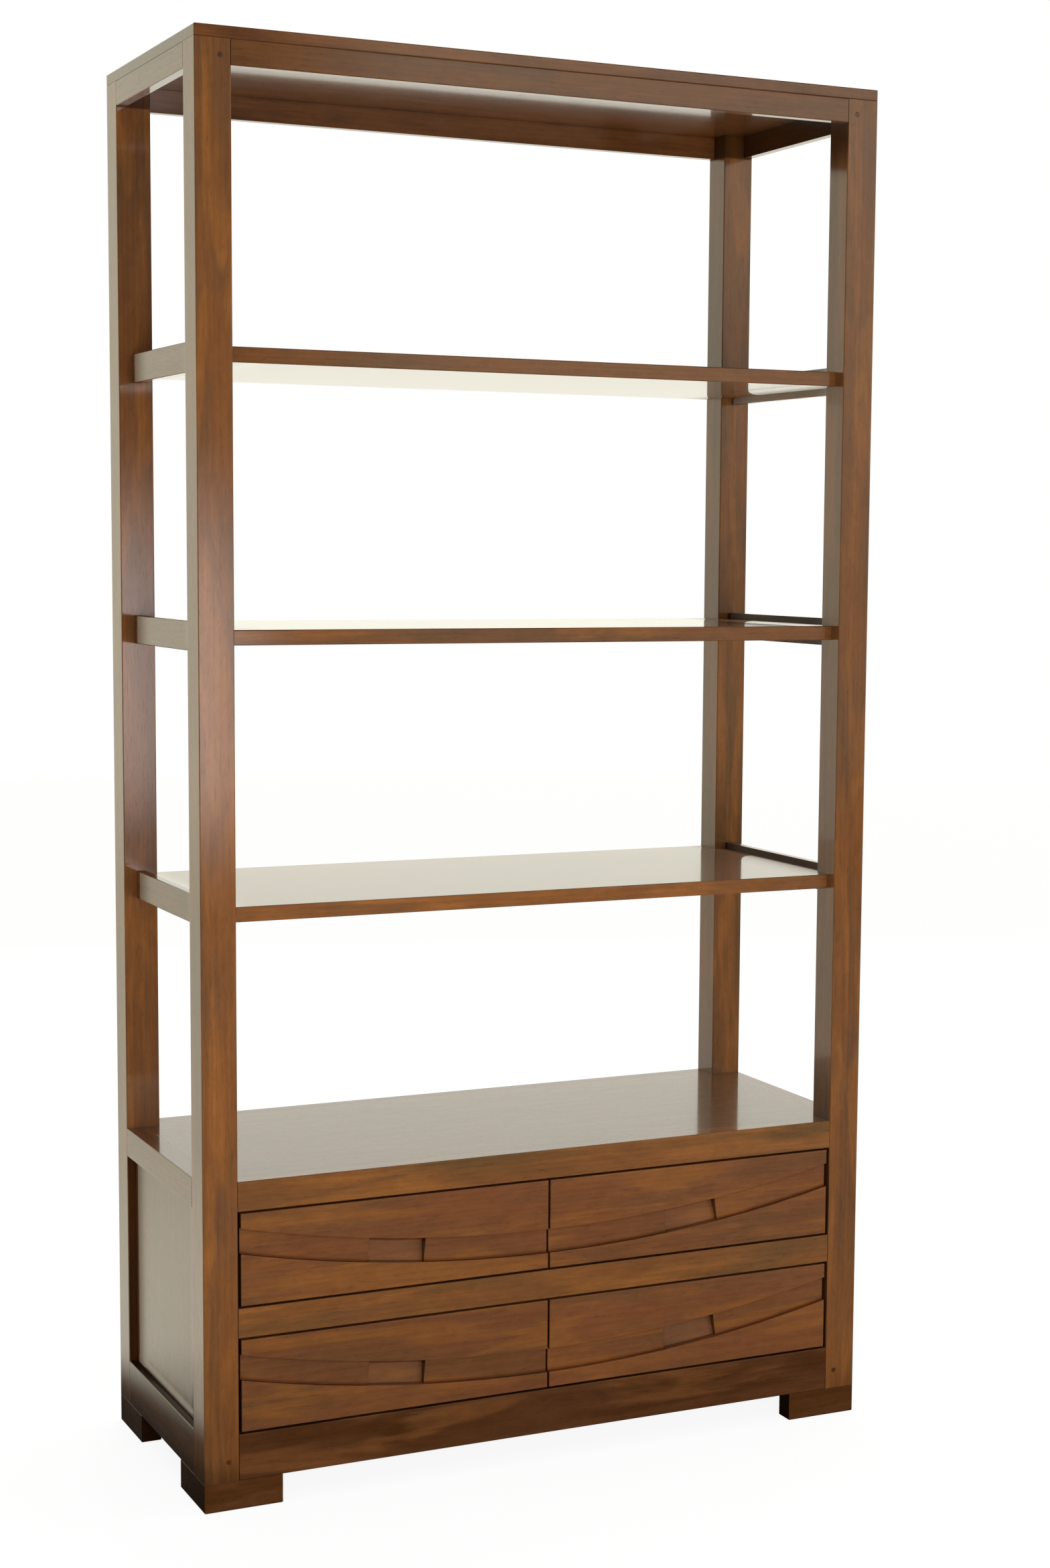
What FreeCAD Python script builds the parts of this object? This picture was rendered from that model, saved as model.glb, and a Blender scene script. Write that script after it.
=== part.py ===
"""Bookcase with bottom drawers: four square posts carry a top, three open shelves and a base of four
drawers.

Units are millimetres. X runs to the right, Y to the back and Z up. The origin is on the floor, under
the middle of the case. Each piece of wood is one solid, written to its own STEP file.
"""

import FreeCAD, Part
import math
import os

V = FreeCAD.Vector

# Driving dimensions
WIDTH = 1040.0
DEPTH = 425.0
HEIGHT = 2000.0
POST = 50.0
EASE = 1.0  # chamfer that takes the sharpness off exposed edges
FINE_EASE = 0.8

TOP_THICK = 16.0
TOP_RAIL_HIGH = 34.0
TOP_RAIL_THICK = 15.0

SHELF_THICK = 21.0
SHELF_SETBACK = 21.0  # shelf edge behind the front faces of the posts
SHELF_RAIL_HIGH = 41.0
SHELF_RAIL_THICK = 12.0
SHELF_RAIL_INSET = 19.0  # rail face inside the side faces of the posts
SHELF_PITCH = 376.0
SHELF_TONGUE = 5.0
SHELF_SHOULDER = 4.0  # step above and below the tongue

FOOT_HIGH = 41.0
FOOT_LEG = 113.0
FOOT_THICK = 30.0

BOTTOM_RAIL_HIGH = 65.0
DRAWER_OPENING = 136.0
BASE_RAIL_HIGH = 42.0
FRONT_RAIL_THICK = 30.0
SIDE_RAIL_THICK = 30.0
BACK_RAIL_THICK = 20.0
BASE_TOP_THICK = 18.0
PARTITION_THICK = 20.0
PARTITION_FOOT = 56.0
SIDE_PANEL_THICK = 10.0
SIDE_PANEL_RECESS = 13.0
BACK_PANEL_THICK = 6.0
BACK_PANEL_RECESS = 7.0
PANEL_TONGUE = 7.0

TENON_LONG = 22.0
TENON_THICK = 8.0
TENON_SHOULDER = 6.0
RAIL_TENON_MARGIN = 4.0  # wood left around the tenon of a thin rail
STUB_WIDE = 24.0  # stub tenon on each post, let into the top board
STUB_HIGH = 10.0
PEG_RADIUS = 3.5
PEG_FACES = 12
PEG_LONG = 24.0
PEG_FROM_JOINT = 15.0
PEG_BELOW_MIDDLE = 4.5  # pegs sit a little under the middle of their rails
CENTRE_PEGS_APART = 14.0  # the pair that pins the partition to the bottom rail
CENTRE_PEGS_UP = 91.0

FRONT_THICK = 28.0
FRONT_GAP = 3.0
POST_GAP = 4.0
CENTRE_GAP = 3.0
BAND_DEEP = 7.0  # curved recess across each pair of drawers
BAND_HIGH = 35.0
BAND_RISE = 25.5  # lowest point of the curve above the opening
BAND_RADIUS = 2155.0
PULL_WIDE = 87.0
PULL_OUTWARD = 3.0  # middle of the pull, outside the middle of its drawer front
PULL_TOP_DEEP = 22.0
PULL_FOOT_DEEP = 13.0
PULL_HOOK = 7.0  # finger room above the top edge of the pull
PULL_LIP = 13.0

BOX_SIDE_THICK = 12.0
BOX_SIDE_HIGH = 110.0
BOX_LONG = 385.0
BOX_BOTTOM_THICK = 5.0
BOX_BOTTOM_UP = 9.0
BOX_GROOVE = 5.0
BOX_BOTTOM_SHORT = 2.0
BOX_BACK_INSET = 12.0
BOX_BACK_GROOVE = 4.0
BOX_BACK_BELOW = 10.0
TAIL_COUNT = 3
TAIL_LONG = 12.0
TAIL_SHARE = 0.3  # half width at the root, as a share of the pitch
TAIL_FLARE = 2.0
HOUSING_DEEP = 10.0
HOUSING_UP = 6.0
PARTITION_GAP = 3.0

RUNNER_THICK = 12.0
RUNNER_WIDE = 20.0
RUNNER_PROUD = 2.6  # carries the drawer clear of the rail under it
GUIDE_HIGH = 30.0
GUIDE_GAP = 1.5

# Places worked out from them
LEFT, RIGHT = -WIDTH / 2, WIDTH / 2
FRONT, BACK = -DEPTH / 2, DEPTH / 2
POST_TOP = HEIGHT - TOP_THICK
TOP_RAIL_FOOT = POST_TOP - TOP_RAIL_HIGH
INNER = WIDTH / 2 - POST  # inner faces of the posts
LOWER_OPENING = FOOT_HIGH + BOTTOM_RAIL_HIGH
MIDDLE_RAIL_FOOT = LOWER_OPENING + DRAWER_OPENING
UPPER_OPENING = MIDDLE_RAIL_FOOT + BASE_RAIL_HIGH
BASE_RAIL_FOOT = UPPER_OPENING + DRAWER_OPENING
BASE_TOP = BASE_RAIL_FOOT + BASE_RAIL_HIGH
SHELF_TOPS = {
    "lower": BASE_TOP + SHELF_PITCH,
    "middle": BASE_TOP + 2 * SHELF_PITCH,
    "upper": BASE_TOP + 3 * SHELF_PITCH,
}
SHELF_RAIL_PROUD = (SHELF_RAIL_HIGH - SHELF_THICK) / 2
SIDES = {"left": -1, "right": 1}
ENDS = {"front": -1, "back": 1}
ROWS = {"upper": UPPER_OPENING, "lower": LOWER_OPENING}

parts = {}


def box(x0, x1, y0, y1, z0, z1):
    """A block between two opposite corners, given in any order."""
    x0, x1 = sorted((x0, x1))
    y0, y1 = sorted((y0, y1))
    z0, z1 = sorted((z0, z1))
    return Part.makeBox(x1 - x0, y1 - y0, z1 - z0, V(x0, y0, z0))


def peg(x, face, z, inward):
    """A many-sided peg driven in from a front or back face."""
    corners = []
    for i in range(PEG_FACES):
        turn = 2 * math.pi * (i + 0.5) / PEG_FACES
        corners.append(V(x + PEG_RADIUS * math.cos(turn), face, z + PEG_RADIUS * math.sin(turn)))
    end = Part.Face(Part.makePolygon(corners + corners[:1]))
    return end.extrude(V(0, inward * PEG_LONG, 0))


def eased(shape, wanted, size=EASE):
    """The shape with a chamfer on each straight edge that wanted(middle, direction) picks."""
    edges = []
    for edge in shape.Edges:
        along = (edge.Vertexes[-1].Point - edge.Vertexes[0].Point).normalize()
        if wanted(edge.CenterOfMass, along):
            edges.append(edge)
    return shape.makeChamfer(size, edges)


def near(a, b):
    return abs(a - b) < 0.01


def mirrored(shape):
    """The shape on the other side of the middle plane."""
    return shape.mirror(V(0, 0, 0), V(1, 0, 0))


def front_rail(foot, high, thick, y_face, inward):
    """A rail between the posts, along X, with a tenon at each end. Its show face is at y_face."""
    y_in = y_face + inward * thick
    body = box(-INNER, INNER, y_face, y_in, foot, foot + high)
    body = eased(body, lambda mid, along: abs(along.x) > 0.9 and near(mid.y, y_face), FINE_EASE)
    tenon_y = y_face + inward * (thick / 2 - TENON_THICK / 2)
    tenon_top = foot + high - TENON_SHOULDER
    reach = INNER + TENON_LONG
    tenon = box(-reach, reach, tenon_y, tenon_y + inward * TENON_THICK, foot + TENON_SHOULDER, tenon_top)
    return body.fuse(tenon).removeSplitter()


def side_rail(foot, high, thick, x_face):
    """A left rail between the posts, along Y, with a tenon at each end. Its show face is at x_face."""
    reach = BACK - POST
    body = box(x_face, x_face + thick, -reach, reach, foot, foot + high)
    body = eased(body, lambda mid, along: abs(along.y) > 0.9 and near(mid.x, x_face), FINE_EASE)
    tenon_thick = min(TENON_THICK, thick - RAIL_TENON_MARGIN)
    tenon_x = x_face + thick / 2 - tenon_thick / 2
    tenon_top = foot + high - TENON_SHOULDER
    reach += TENON_LONG
    tenon = box(tenon_x, tenon_x + tenon_thick, -reach, reach, foot + TENON_SHOULDER, tenon_top)
    return body.fuse(tenon).removeSplitter()


def build_panels():
    """Thin panels whose edges stand PANEL_TONGUE deep in the frame around them."""
    foot, top = LOWER_OPENING - PANEL_TONGUE, BASE_RAIL_FOOT + PANEL_TONGUE
    face = LEFT + SIDE_PANEL_RECESS
    reach = BACK - POST + PANEL_TONGUE
    side = box(face, face + SIDE_PANEL_THICK, -reach, reach, foot, top)
    parts["side_panel_left"], parts["side_panel_right"] = side, mirrored(side)
    face = BACK - BACK_PANEL_RECESS
    reach = INNER + PANEL_TONGUE
    parts["back_panel"] = box(-reach, reach, face - BACK_PANEL_THICK, face, foot, top)


def build_frame():
    """The rails of the top and the base. The posts are cut around them later."""
    parts["top_rail_front"] = front_rail(TOP_RAIL_FOOT, TOP_RAIL_HIGH, TOP_RAIL_THICK, FRONT, 1)
    parts["top_rail_back"] = front_rail(TOP_RAIL_FOOT, TOP_RAIL_HIGH, TOP_RAIL_THICK, BACK, -1)
    left = side_rail(TOP_RAIL_FOOT, TOP_RAIL_HIGH, TOP_RAIL_THICK, LEFT)
    parts["top_rail_left"], parts["top_rail_right"] = left, mirrored(left)

    for name, foot, high in (
        ("top", BASE_RAIL_FOOT, BASE_RAIL_HIGH),
        ("middle", MIDDLE_RAIL_FOOT, BASE_RAIL_HIGH),
        ("bottom", FOOT_HIGH, BOTTOM_RAIL_HIGH),
    ):
        parts["base_rail_front_" + name] = front_rail(foot, high, FRONT_RAIL_THICK, FRONT, 1)

    rails = {"top": (BASE_RAIL_FOOT, BASE_RAIL_HIGH), "bottom": (FOOT_HIGH, BOTTOM_RAIL_HIGH)}
    for name, (foot, high) in rails.items():
        left = side_rail(foot, high, SIDE_RAIL_THICK, LEFT).cut(parts["side_panel_left"])
        parts["base_rail_left_" + name], parts["base_rail_right_" + name] = left, mirrored(left)
        back = front_rail(foot, high, BACK_RAIL_THICK, BACK, -1).cut(parts["back_panel"])
        parts["base_rail_back_" + name] = back


def build_shelves():
    """Three boards notched around the posts, each housed in a rail at its left and right."""
    rail_x = LEFT + SHELF_RAIL_INSET
    half = -rail_x - SHELF_RAIL_THICK
    tip = half + SHELF_TONGUE
    reach = BACK - POST
    for name, top in SHELF_TOPS.items():
        under = top - SHELF_THICK
        tongue = box(-tip, tip, -reach, reach, under + SHELF_SHOULDER, top - SHELF_SHOULDER)
        wide = box(-half, half, -reach, reach, under, top)
        long = box(-INNER, INNER, FRONT + SHELF_SETBACK, BACK, under, top)
        long = eased(long, lambda mid, along: abs(along.x) > 0.9)
        board = long.fuse([wide, tongue]).removeSplitter()
        left = side_rail(under - SHELF_RAIL_PROUD, SHELF_RAIL_HIGH, SHELF_RAIL_THICK, rail_x).cut(board)
        parts["shelf_board_" + name] = board
        parts["shelf_rail_%s_left" % name] = left
        parts["shelf_rail_%s_right" % name] = mirrored(left)


def build_base():
    """The board over the drawers, the partition between them and what they run on."""
    floor = BASE_TOP - BASE_TOP_THICK
    side_reach = RIGHT - SIDE_RAIL_THICK
    front_face = FRONT + FRONT_RAIL_THICK
    back_face = BACK - BACK_RAIL_THICK
    board = box(-side_reach, side_reach, front_face, back_face, floor, BASE_TOP)
    for sx in SIDES.values():
        for sy in ENDS.values():
            corner = (sx * INNER, sx * RIGHT, sy * (BACK - POST), sy * BACK)
            board = board.cut(box(*corner, floor - 1, BASE_TOP + 1))
    parts["base_top_board"] = board
    half = PARTITION_THICK / 2
    parts["centre_partition"] = box(-half, half, front_face, back_face, PARTITION_FOOT, floor)

    kickers = [
        box(-INNER, -INNER + RUNNER_WIDE, front_face, back_face, BASE_RAIL_FOOT, floor),
        box(-half, -half - RUNNER_WIDE, front_face, back_face, BASE_RAIL_FOOT, floor),
    ]
    parts["drawer_kickers"] = Part.makeCompound(kickers + [mirrored(k) for k in kickers])

    for row, foot in ROWS.items():
        top = foot + RUNNER_PROUD
        under = top - RUNNER_THICK
        ledge = box(-INNER, -INNER + RUNNER_WIDE, front_face, back_face, under, top)
        guide_in = -INNER + POST_GAP - GUIDE_GAP
        guide = box(-side_reach, guide_in, -(BACK - POST), BACK - POST, under, top + GUIDE_HIGH)
        outer = ledge.fuse(guide).removeSplitter()
        inner = box(-half, -half - RUNNER_WIDE, front_face, back_face, under, top)
        runners = [outer, inner]
        parts["drawer_runners_" + row] = Part.makeCompound(runners + [mirrored(r) for r in runners])


def foot_edge(mid, along):
    """The edges on the floor and the outer corner of a foot."""
    return near(mid.z, 0.0) or near(abs(mid.x), RIGHT) and near(abs(mid.y), BACK)


def build_feet():
    """Corner brackets, each of two legs around an open inner corner."""
    for side, sx in SIDES.items():
        for end, sy in ENDS.items():
            x, y = sx * RIGHT, sy * BACK
            along_x = box(x, x - sx * FOOT_LEG, y, y - sy * FOOT_THICK, 0, FOOT_HIGH)
            along_y = box(x, x - sx * FOOT_THICK, y, y - sy * FOOT_LEG, 0, FOOT_HIGH)
            foot = along_x.fuse(along_y).removeSplitter()
            parts["foot_%s_%s" % (end, side)] = eased(foot, foot_edge)


def build_pegs():
    """Pegs that pin the tenons of the top and bottom rails, and the foot of the partition."""
    pegs = []
    for sx in SIDES.values():
        x = sx * (INNER + PEG_FROM_JOINT)
        for sy in ENDS.values():
            for middle in (TOP_RAIL_FOOT + TOP_RAIL_HIGH / 2, FOOT_HIGH + BOTTOM_RAIL_HIGH / 2):
                pegs.append(peg(x, sy * BACK, middle - PEG_BELOW_MIDDLE, -sy))
        pegs.append(peg(sx * CENTRE_PEGS_APART / 2, FRONT, CENTRE_PEGS_UP, 1))
    parts["joint_pegs"] = Part.makeCompound(pegs)
    for name in ("top_rail_front", "top_rail_back", "base_rail_front_bottom", "base_rail_back_bottom"):
        parts[name] = parts[name].cut(pegs)
    return pegs


def build_posts(pegs):
    """Posts with a mortise or groove wherever another piece of the carcass enters them, under the top."""
    top = box(LEFT, RIGHT, FRONT, BACK, POST_TOP, HEIGHT)
    top = eased(top, lambda mid, along: True)
    holes = pegs + [shape for name, shape in parts.items() if "_rail_" in name or "_panel" in name]
    half, stub_top = STUB_WIDE / 2, POST_TOP + STUB_HIGH
    for side, sx in SIDES.items():
        for end, sy in ENDS.items():
            x, y = sx * RIGHT, sy * BACK
            mid_x, mid_y = x - sx * POST / 2, y - sy * POST / 2
            post = box(x, x - sx * POST, y, y - sy * POST, FOOT_HIGH, POST_TOP)
            post = eased(post, lambda mid, along: abs(along.z) > 0.9)
            stub = box(mid_x - half, mid_x + half, mid_y - half, mid_y + half, POST_TOP, stub_top)
            parts["post_%s_%s" % (end, side)] = post.fuse(stub).cut(holes)
            top = top.cut(stub)
    parts["top_board"] = top


def sector(profile, centre, mid_angle, half_angle):
    """The (radius, y) profile swept about a Y axis, from half_angle before to after mid_angle.

    Angles are in degrees from straight down, towards +X.
    """
    start = math.radians(mid_angle - half_angle)
    down, out = -math.cos(start), math.sin(start)
    points = [V(centre.x + r * out, y, centre.z + r * down) for r, y in profile]
    face = Part.Face(Part.makePolygon(points + points[:1]))
    return face.revolve(centre, V(0, -1, 0), 2 * half_angle)


def drawer_front(foot):
    """Left drawer front with its share of the curved band, and a finger pull cut into the band."""
    x0, x1 = -INNER + POST_GAP, -CENTRE_GAP / 2
    front = box(x0, x1, FRONT, FRONT + FRONT_THICK, foot + FRONT_GAP, foot + DRAWER_OPENING - FRONT_GAP)
    front = eased(front, lambda mid, along: near(mid.y, FRONT), FINE_EASE)
    centre = V(0, 0, foot + BAND_RISE + BAND_RADIUS)
    inner_radius = BAND_RADIUS - BAND_HIGH
    band = [
        (inner_radius, FRONT - 5),
        (inner_radius, FRONT + BAND_DEEP),
        (BAND_RADIUS, FRONT + BAND_DEEP),
        (BAND_RADIUS, FRONT - 5),
    ]
    wide = math.degrees(math.asin(WIDTH / 2 / BAND_RADIUS))
    front = front.cut(sector(band, centre, 0.0, wide))
    pull = [
        (inner_radius, FRONT - 5),
        (inner_radius, FRONT + PULL_LIP),
        (inner_radius - PULL_HOOK, FRONT + PULL_LIP),
        (inner_radius - PULL_HOOK, FRONT + PULL_TOP_DEEP),
        (inner_radius, FRONT + PULL_TOP_DEEP),
        (BAND_RADIUS, FRONT + PULL_FOOT_DEEP),
        (BAND_RADIUS, FRONT - 5),
    ]
    mid_angle = math.degrees(math.asin(((x0 + x1) / 2 - PULL_OUTWARD) / BAND_RADIUS))
    half_angle = math.degrees(math.asin(PULL_WIDE / 2 / BAND_RADIUS))
    return front.cut(sector(pull, centre, mid_angle, half_angle))


def tails(x0, x1, foot, high, y_tip):
    """Dovetail tails on the front end of a drawer side, wider at the tip."""
    pitch = high / TAIL_COUNT
    root = pitch * TAIL_SHARE
    tip = root + TAIL_FLARE
    shapes = []
    for i in range(TAIL_COUNT):
        mid = foot + pitch * (i + 0.5)
        outline = [
            V(x0, y_tip, mid - tip),
            V(x0, y_tip, mid + tip),
            V(x0, y_tip + TAIL_LONG, mid + root),
            V(x0, y_tip + TAIL_LONG, mid - root),
        ]
        face = Part.Face(Part.makePolygon(outline + outline[:1]))
        shapes.append(face.extrude(V(x1 - x0, 0, 0)))
    return shapes


def build_drawer(row, foot):
    """The left drawer of a row, and its mirror image as the right one."""
    low = foot + FRONT_GAP
    front = drawer_front(foot)
    joint_y = FRONT + FRONT_THICK
    end_y = FRONT + BOX_LONG
    outer0 = -INNER + POST_GAP
    outer1 = outer0 + BOX_SIDE_THICK
    inner1 = -PARTITION_THICK / 2 - PARTITION_GAP
    inner0 = inner1 - BOX_SIDE_THICK
    high = low + BOX_SIDE_HIGH

    def top_edge(mid, along):
        return near(mid.z, high) and abs(along.y) > 0.9

    outer_side = eased(box(outer0, outer1, joint_y, end_y, low, high), top_edge, FINE_EASE)
    for tail in tails(outer0, outer1, low, BOX_SIDE_HIGH, joint_y - TAIL_LONG):
        outer_side = outer_side.fuse(tail)
        front = front.cut(tail)
    inner_side = box(inner0, inner1, joint_y - HOUSING_DEEP, end_y, low + HOUSING_UP, high)
    inner_foot = box(inner0, inner1, joint_y, end_y, low, low + HOUSING_UP)
    inner_side = eased(inner_side, top_edge, FINE_EASE).fuse(inner_foot).removeSplitter()
    front = front.cut(inner_side)

    groove_foot = low + BOX_BOTTOM_UP
    groove_top = groove_foot + BOX_BOTTOM_THICK
    x0, x1 = outer1 - BOX_GROOVE, inner0 + BOX_GROOVE
    bottom = box(x0, x1, joint_y - BOX_GROOVE, end_y - BOX_BOTTOM_SHORT, groove_foot, groove_top)
    x0, x1 = outer1 - BOX_BACK_GROOVE, inner0 + BOX_BACK_GROOVE
    back_y = end_y - BOX_BACK_INSET
    back = box(x0, x1, back_y - BOX_SIDE_THICK, back_y, groove_top, high - BOX_BACK_BELOW)
    for piece in (bottom, back):
        outer_side = outer_side.cut(piece)
        inner_side = inner_side.cut(piece)
    bottom = bottom.cut(outer_side).cut(inner_side)
    front = front.cut(bottom)

    pieces = {
        "front": front,
        "side_outer": outer_side.removeSplitter(),
        "side_inner": inner_side.removeSplitter(),
        "back": back,
        "bottom": bottom,
    }
    for name, shape in pieces.items():
        parts["drawer_%s_left_%s" % (row, name)] = shape
        parts["drawer_%s_right_%s" % (row, name)] = mirrored(shape)


build_panels()
build_frame()
build_shelves()
build_base()
build_feet()
build_posts(build_pegs())
for row_name, row_foot in ROWS.items():
    build_drawer(row_name, row_foot)

os.makedirs("parts", exist_ok=True)
for node, piece in parts.items():
    piece.exportStep("parts/%s.step" % node)
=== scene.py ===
import math

import bpy
import numpy as np
from mathutils import Matrix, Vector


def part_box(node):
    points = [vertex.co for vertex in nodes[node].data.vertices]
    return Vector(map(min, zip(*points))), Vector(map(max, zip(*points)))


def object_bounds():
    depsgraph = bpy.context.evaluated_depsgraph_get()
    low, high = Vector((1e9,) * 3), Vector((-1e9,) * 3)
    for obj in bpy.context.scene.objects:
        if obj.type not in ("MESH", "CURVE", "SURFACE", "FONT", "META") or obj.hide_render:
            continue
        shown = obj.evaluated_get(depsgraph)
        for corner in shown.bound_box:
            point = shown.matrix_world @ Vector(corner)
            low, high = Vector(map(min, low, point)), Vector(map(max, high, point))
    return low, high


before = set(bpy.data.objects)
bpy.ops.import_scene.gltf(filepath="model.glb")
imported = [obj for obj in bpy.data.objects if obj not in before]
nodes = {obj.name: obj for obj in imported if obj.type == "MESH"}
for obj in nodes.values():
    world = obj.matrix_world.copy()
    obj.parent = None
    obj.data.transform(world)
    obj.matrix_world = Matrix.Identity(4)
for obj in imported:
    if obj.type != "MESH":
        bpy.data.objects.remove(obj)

cad_low, cad_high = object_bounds()

X, Y, Z = 0, 1, 2
LOW, HIGH = 0, 1  # the two corners of a box


def past(start, span):
    """The two ends of a range that is given from a starting place."""
    return start + span[0], start + span[1]


def standing(right, up, back, place):
    """The matrix of a thing whose own X, Y and Z point right, up and back, at this place."""
    pose = np.eye(4)
    for column, values in enumerate((right, up, back, place)):
        pose[:3, column] = values
    return Matrix(pose.tolist())


# Camera: its place in metres, its turns in radians, and its lens in points of the rendered frame

EYE = np.array([-1.5296, -3.4924, 1.3291])
YAW, PITCH, ROLL = 0.4495, -0.1050, 0.0084
FOCAL, LONG_SIDE = 3813.52, 2342.0
CENTRE_OFF = (-90.67, 47.55)  # how far the frame's middle lies right of and above the lens's axis
SENSOR = 36.0  # along the long side, in millimetres
CLIP = (0.05, 200.0)  # metres


def place_camera():
    """Looks along (sin yaw cos pitch, cos yaw cos pitch, sin pitch), rolled about that line."""
    flat = math.cos(PITCH)
    ahead = np.array([math.sin(YAW) * flat, math.cos(YAW) * flat, math.sin(PITCH)])
    level = np.array([math.cos(YAW), -math.sin(YAW), 0.0])
    above = np.cross(level, ahead)
    right = math.cos(ROLL) * level + math.sin(ROLL) * above
    up = -math.sin(ROLL) * level + math.cos(ROLL) * above
    lens = bpy.data.cameras.new("camera")
    lens.sensor_fit = "AUTO"
    lens.sensor_width = SENSOR
    lens.lens = SENSOR * FOCAL / LONG_SIDE
    lens.shift_x = CENTRE_OFF[0] / LONG_SIDE
    lens.shift_y = CENTRE_OFF[1] / LONG_SIDE
    lens.clip_start, lens.clip_end = CLIP
    camera = bpy.data.objects.new("camera", lens)
    camera.matrix_world = standing(right, up, -ahead, EYE)
    bpy.context.scene.collection.objects.link(camera)
    bpy.context.scene.camera = camera


# Node trees

class Tree:
    """Shader nodes of one material, written as sums. Inputs may be numbers, tuples or sockets."""

    def __init__(self, tree):
        self.tree = tree
        tree.nodes.clear()

    def add(self, kind, **settings):
        node = self.tree.nodes.new(kind)
        for name, value in settings.items():
            setattr(node, name, value)
        return node

    def put(self, socket, value):
        if isinstance(value, bpy.types.NodeSocket):
            self.tree.links.new(value, socket)
        else:
            socket.default_value = value

    def put_all(self, node, values):
        """Fills the first inputs of a node, in order, and returns its first output."""
        for socket, value in zip(node.inputs, values):
            self.put(socket, value)
        return node.outputs[0]

    def math(self, operation, *values):
        return self.put_all(self.add("ShaderNodeMath", operation=operation), values)

    def plus(self, a, b):
        return self.math("ADD", a, b)

    def minus(self, a, b):
        return self.math("SUBTRACT", a, b)

    def times(self, a, b):
        return self.math("MULTIPLY", a, b)

    def over(self, a, b):
        return self.math("DIVIDE", a, b)

    def power(self, a, b):
        return self.math("POWER", a, b)

    def larger(self, a, b):
        return self.math("MAXIMUM", a, b)

    def unsigned(self, a):
        return self.math("ABSOLUTE", a)

    def kept(self, share, strength):
        """What is kept of 1 after the share times the strength is taken off."""
        return self.minus(1.0, self.times(share, strength))

    def between(self, value, low, high, to_low=0.0, to_high=1.0, smooth=True):
        """value moved from low..high to to_low..to_high, held at the ends."""
        curve = "SMOOTHSTEP" if smooth else "LINEAR"
        node = self.add("ShaderNodeMapRange", interpolation_type=curve, clamp=True)
        return self.put_all(node, (value, low, high, to_low, to_high))

    def vector(self, operation, a, b=(0.0, 0.0, 0.0)):
        node = self.add("ShaderNodeVectorMath", operation=operation)
        self.put_all(node, (a, b))
        return node.outputs["Value" if operation in ("LENGTH", "DOT_PRODUCT") else "Vector"]

    def parts(self, vector):
        """The X, Y and Z of a vector."""
        split = self.add("ShaderNodeSeparateXYZ")
        self.put(split.inputs[0], vector)
        return split.outputs

    def noise(self, vector, detail=2.0, rough=0.5, warp=0.0):
        node = self.add("ShaderNodeTexNoise", noise_dimensions="3D")
        self.put(node.inputs["Vector"], vector)
        node.inputs["Scale"].default_value = 1.0
        node.inputs["Detail"].default_value = detail
        node.inputs["Roughness"].default_value = rough
        node.inputs["Distortion"].default_value = warp
        return node.outputs

    def mix(self, share, a, b, blend="MIX"):
        """Colour a moved towards colour b, or towards a times b with the blend MULTIPLY."""
        node = self.add("ShaderNodeMix", data_type="RGBA", blend_type=blend, clamp_result=False)
        self.put(node.inputs["Factor"], share)
        self.put(node.inputs[6], a)
        self.put(node.inputs[7], b)
        return node.outputs[2]

    def grey(self, value):
        node = self.add("ShaderNodeCombineColor")
        return self.put_all(node, (value, value, value))

    def bump(self, height, normal, strength, distance):
        """A normal tilted by the slope of the height, where 1 stands for the distance in metres."""
        node = self.add("ShaderNodeBump")
        node.inputs["Strength"].default_value = strength
        node.inputs["Distance"].default_value = distance
        self.put(node.inputs["Height"], height)
        self.put(node.inputs["Normal"], normal)
        return node.outputs[0]

    def finish(self, shader, kind="ShaderNodeOutputMaterial"):
        self.put(self.add(kind).inputs["Surface"], shader)


def object_place(t):
    """X, Y and Z on the piece, in metres."""
    return t.parts(t.add("ShaderNodeTexCoord").outputs["Object"])


# Figure of the wood

AXES = {"x": (X, Y, Z), "y": (Y, X, Z), "z": (Z, X, Y)}  # the grain's own axis comes first
SEED_STEP = (3.17, 1.93, 2.71)  # metres that the cut moves in the tree from one seed to the next
TREE_SIZE = (11.0, 7.0, 5.0)
WANDER_RATE = (1.1, 7.0, 7.0)  # how often the fibres' wandering repeats in a metre
WANDER = (0.0, 0.014, 0.014)  # and how far it takes them, in metres

# Layers of noise: how often each repeats in a metre along and across the grain, then its
# detail, its roughness and its warp
LAYERS = {
    "streak": (3.0, 70.0, 4.0, 0.60, 0.0),
    "patch": (5.0, 19.0, 3.0, 0.50, 0.4),
    "warm": (4.0, 30.0, 3.0, 0.55, 0.6),
    "fibre": (12.0, 520.0, 3.0, 0.60, 0.0),
    "cloud": (28.0, 60.0, 3.0, 0.60, 0.8),
    "pore": (70.0, 900.0, 1.0, 0.50, 0.0),
    "edge_wear_and_highlight": (14.0, 30.0, 2.0, 0.50, 0.0),
}
PORES = (0.60, 0.74)  # where the noise begins to be a pore, and where it is a whole one

# Growth rings, in metres, with their late wood as shares of a ring
RING_WIDTH = 0.0074
RING_WAVER = 2.0  # rings that a streak bends them by
PITH_OFF = (0.11, 0.07)  # from the cut to the pith, across the grain
PITH_STEP, PITH_RANGE = 0.013, 0.05
TRUNK = (0.010, 1.0, 1.0)  # rings hardly change along the grain
LATE_BEGINS = (0.30, 0.90)
LATE_ENDS = (0.92, 1.00, 1.0, 0.0)

# Colour and shade: ranges of noise, with the shades at their ends or the strength
STREAK_SHARE, PATCH_SHARE = 0.45, 0.55
DARK_TO_MID = (0.34, 0.62)
MID_TO_LIGHT, LIGHT_SHARE = (0.46, 0.66), 0.8
LATE_DARK, PORE_DARK = 0.08, 0.22
FIBRE_SHADE = (0.30, 0.70, 0.93, 1.06)
CLOUDS = (0.32, 0.68)

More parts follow.
